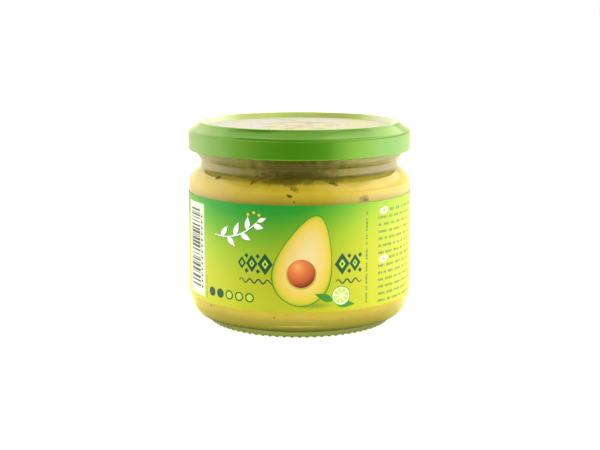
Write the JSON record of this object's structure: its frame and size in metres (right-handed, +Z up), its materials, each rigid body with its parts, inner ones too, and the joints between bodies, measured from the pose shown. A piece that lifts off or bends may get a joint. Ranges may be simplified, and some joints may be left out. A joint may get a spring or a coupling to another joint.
{
  "type": "jar of guacamole dip",
  "caption": "Shut clear glass jar filled with guacamole dip, with a knurled foot, a wraparound paper label and a twist-off tinplate lid.",
  "frame": {"origin": "middle of the jar's foot, on the surface that the jar stands on", "axes": "+Z up through the middle of the lid, -Y towards the middle of the label's front, +X to its right"},
  "size_m": [0.0854, 0.0854, 0.0762],
  "materials": {
    "glass": "clear moulded soda-lime glass with a faint green tint, polished",
    "dip": "smooth thick yellow-green dip with small dark herb flecks, moist",
    "label": "coated paper printed in a green to lime gradient, semi-gloss",
    "lid": "glossy green lacquer on tinplate, with a cream printed panel on top"
  },
  "bodies": {
    "root": {"jar": "glass", "guacamole": "dip", "label": "label", "lid": "lid"}
  },
  "joints": []
}
